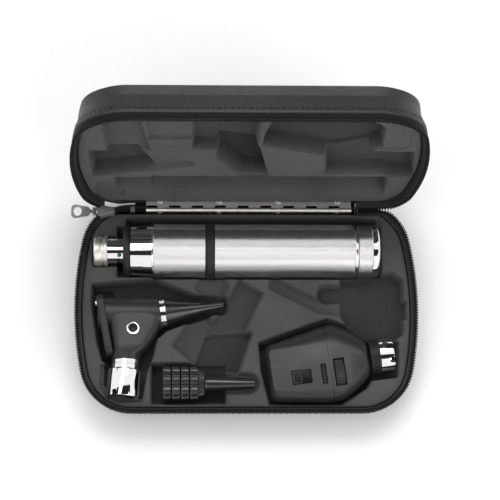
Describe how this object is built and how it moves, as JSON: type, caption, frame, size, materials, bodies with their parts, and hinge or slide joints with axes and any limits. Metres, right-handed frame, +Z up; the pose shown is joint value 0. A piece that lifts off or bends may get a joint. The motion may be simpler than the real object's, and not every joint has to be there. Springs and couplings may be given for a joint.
{
  "type": "otoscope carry case",
  "caption": "Zipped rounded rectangular carry case with a piano-hinged lid, open, holding an otoscope head, an ophthalmoscope head, a battery handle and nested specula in fitted trays",
  "frame": {"origin": "Centre of the base's flat underside, below the middle of the closed case's plan.", "axes": "+X to the right along the hinge, +Y from the front of the case to its hinge side, +Z up. The case stands with its lid open at 96 degrees."},
  "size_m": [0.1911, 0.1489, 0.1375],
  "materials": {
    "cover": "black leathercloth over board, fine grain, low sheen",
    "insert": "grey flocked foam insert",
    "tape": "black woven zip tape",
    "coil": "dark brown-black moulded zip teeth",
    "spine": "soft black vinyl strip",
    "zinc": "grey enamelled die-cast metal",
    "nickel": "nickel-plated steel",
    "chrome": "polished chrome",
    "knurled": "satin chrome with fine knurling",
    "black": "matt black",
    "blacksoft": "satin black head housing",
    "specula": "black polypropylene",
    "window": "dark gloss window",
    "green": "green translucent plastic",
    "glass": "clear magnifying lens",
    "brass": "gold-plated brass contact",
    "cell": "plain jacketed dry cell",
    "white": "off-white insulating plastic",
    "lamp": "nickel lamp base with a glass tip"
  },
  "bodies": {
    "base": {"base_shell": "cover", "base_tray": "insert", "base_zip_tape": "tape", "base_zip_teeth": "coil", "base_hinge_leaf": "nickel", "base_rivets": "nickel", "hinge_pin": "nickel", "spine_cover": "spine", "zip_stub": "coil", "zip_end_clip": "zinc", "base_zip_stop": "nickel", "zip_slider": "zinc"},
    "lid": {"lid_shell": "cover", "lid_tray": "insert", "lid_zip_tape": "tape", "lid_zip_teeth": "coil", "lid_hinge_leaf": "nickel", "lid_rivets": "nickel", "lid_zip_stop": "nickel"},
    "zip_tab": {"zip_pull": "zinc"},
    "handle": {"battery_tube": "knurled", "tube_bead": "chrome", "black_band": "black", "handle_core": "chrome", "handle_collar": "black", "bayonet_ring": "nickel", "contact_insulator": "white", "contact_pin": "brass", "batteries": "cell"},
    "grip": {"front_sleeve": "knurled", "plain_sleeve": "chrome"},
    "lock": {"lock_button": "green"},
    "cap": {"end_cap": "knurled", "cap_dome": "chrome", "cap_spring": "nickel"},
    "otoscope": {"oto_body": "blacksoft", "oto_neck": "chrome", "oto_socket": "chrome", "oto_tip_ring": "chrome", "oto_port": "chrome", "oto_lamp": "lamp", "oto_speculum": "specula", "oto_lens_pivot": "nickel"},
    "lens": {"oto_lens_frame": "black", "oto_lens": "glass"},
    "specula": {"spare_speculum_1": "specula", "spare_speculum_2": "specula", "spare_speculum_3": "specula", "spare_speculum_4": "specula"},
    "ophthalmoscope": {"scope_front": "blacksoft", "scope_rear": "blacksoft", "scope_window": "window", "scope_neck": "black", "scope_socket": "chrome", "scope_lamp": "lamp", "wheel_axle": "nickel"},
    "wheel": {"lens_wheel": "black"},
    "dial": {"aperture_dial": "black"}
  },
  "joints": [
    {"name": "lid_hinge", "type": "hinge", "parent": "base", "child": "lid", "pos_m": [0.0015, 0.0542, 0.0245], "axis": [-1, 0, 0], "range_deg": [-96, 0], "deforming": ["spine_cover"]},
    {"name": "pull_swing", "type": "hinge", "parent": "base", "child": "zip_tab", "pos_m": [-0.0845, 0.0532, 0.0245], "axis": [0, 1, 0], "range_deg": [-75, 50]},
    {"name": "handle_lift", "type": "slide", "parent": "base", "child": "handle", "axis": [0, 0, 1], "range_m": [0, 0.06]},
    {"name": "grip_turn", "type": "hinge", "parent": "handle", "child": "grip", "pos_m": [-0.037, 0.0316, 0.02], "axis": [1, 0, 0], "range_deg": [0, 120]},
    {"name": "lock_press", "type": "slide", "parent": "handle", "child": "lock", "axis": [0, 0.5446, -0.8387], "range_m": [0, 0.0014], "stiffness_N_per_m": 600},
    {"name": "cap_turn", "type": "hinge", "parent": "handle", "child": "cap", "pos_m": [0.066, 0.0316, 0.02], "axis": [1, 0, 0], "range_deg": [0, 360]},
    {"name": "otoscope_lift", "type": "slide", "parent": "base", "child": "otoscope", "axis": [0, 0, 1], "range_m": [0, 0.06]},
    {"name": "lens_swing", "type": "hinge", "parent": "otoscope", "child": "lens", "pos_m": [-0.08239, 0.00226, 0.0185], "axis": [-0.9836, -0.1805, 0], "range_deg": [0, 60]},
    {"name": "specula_lift", "type": "slide", "parent": "base", "child": "specula", "axis": [0, 0, 1], "range_m": [0, 0.06]},
    {"name": "ophthalmoscope_lift", "type": "slide", "parent": "base", "child": "ophthalmoscope", "axis": [0, 0, 1], "range_m": [0, 0.06]},
    {"name": "lens_wheel_turn", "type": "hinge", "parent": "ophthalmoscope", "child": "wheel", "pos_m": [0.05007, -0.03867, 0.0211], "axis": [0.9914, 0.1305, 0], "continuous": true},
    {"name": "aperture_turn", "type": "hinge", "parent": "ophthalmoscope", "child": "dial", "pos_m": [0.04154, -0.03979, 0.0211], "axis": [0.9914, 0.1305, 0], "range_deg": [-150, 150]}
  ]
}
